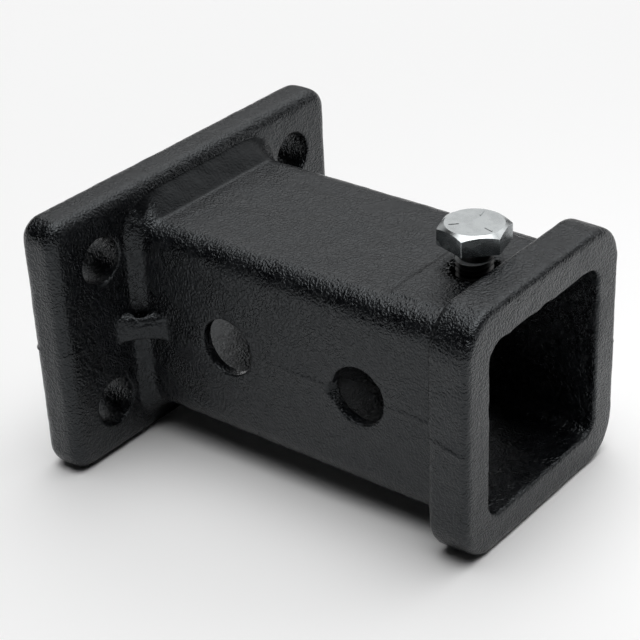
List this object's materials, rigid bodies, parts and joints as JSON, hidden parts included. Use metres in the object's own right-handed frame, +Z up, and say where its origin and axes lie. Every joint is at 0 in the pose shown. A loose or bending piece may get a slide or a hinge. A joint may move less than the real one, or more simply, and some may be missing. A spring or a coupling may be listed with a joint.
{
  "type": "hitch receiver adapter",
  "caption": "Cast square receiver tube on a bolt-on flange, with a thick collar round its mouth, cross holes for the hitch pin and a hex bolt on top that clamps the shank.",
  "frame": {"origin": "middle of the flange's back face, on the receiver tube's axis", "axes": "X across the flange, +Y out of the flange's back face along the receiver tube's axis so that the mouth faces -Y, +Z up towards the clamp bolt"},
  "size_m": [0.1174, 0.1284, 0.0821],
  "materials": {
    "casting": "black semi-gloss coating over a sand-cast skin",
    "plated_steel": "bright zinc plating"
  },
  "bodies": {
    "casting": {"receiver_casting": "casting"},
    "bolt": {"clamp_bolt": "plated_steel"}
  },
  "joints": [
    {"name": "bolt_travel", "type": "slide", "parent": "casting", "child": "bolt", "axis": [0, 0, -1], "range_m": [-0.0008, 0.0072]}
  ]
}
